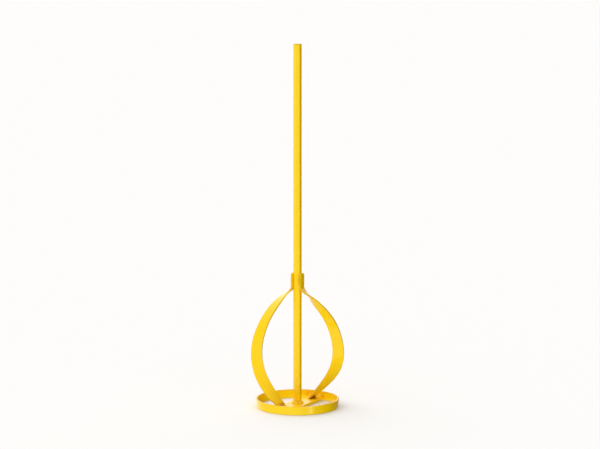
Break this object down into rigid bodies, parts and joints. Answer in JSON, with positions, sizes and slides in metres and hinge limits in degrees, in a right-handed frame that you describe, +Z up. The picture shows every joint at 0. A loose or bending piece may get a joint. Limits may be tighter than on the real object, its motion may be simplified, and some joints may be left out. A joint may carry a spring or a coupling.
{
  "type": "mortar mixing paddle",
  "caption": "Drill-driven paddle for mixing mortar: hexagonal shaft, helically twisted flat-bar blades, round base ring and flat cross bar, all welded and painted yellow.",
  "frame": {"origin": "on the shaft's axis, in the plane the base ring stands on", "axes": "+Z up along the shaft towards its free end; -Y is the side one flat of the shaft faces and the side the paddle is seen from; +X towards the blade whose tab faces the viewer"},
  "size_m": [0.1271, 0.1138, 0.495],
  "materials": {
    "shaft": "gloss",
    "blade_right": "gloss",
    "blade_left": "gloss",
    "ring": "gloss",
    "cross_bar": "gloss",
    "weld_tab_right": "gloss over a rippled bead",
    "weld_tab_left": "gloss over a rippled bead",
    "weld_shaft_foot": "gloss over a rippled bead",
    "weld_foot_right": "gloss over a rippled bead",
    "weld_foot_left": "gloss over a rippled bead",
    "weld_bar_back": "gloss over a rippled bead",
    "weld_bar_front": "gloss over a rippled bead"
  },
  "bodies": {
    "root": {"shaft": "shaft", "blade_right": "blade_right", "blade_left": "blade_left", "ring": "ring", "cross_bar": "cross_bar", "weld_tab_right": "weld_tab_right", "weld_tab_left": "weld_tab_left", "weld_shaft_foot": "weld_shaft_foot", "weld_foot_right": "weld_foot_right", "weld_foot_left": "weld_foot_left", "weld_bar_back": "weld_bar_back", "weld_bar_front": "weld_bar_front"}
  },
  "joints": []
}
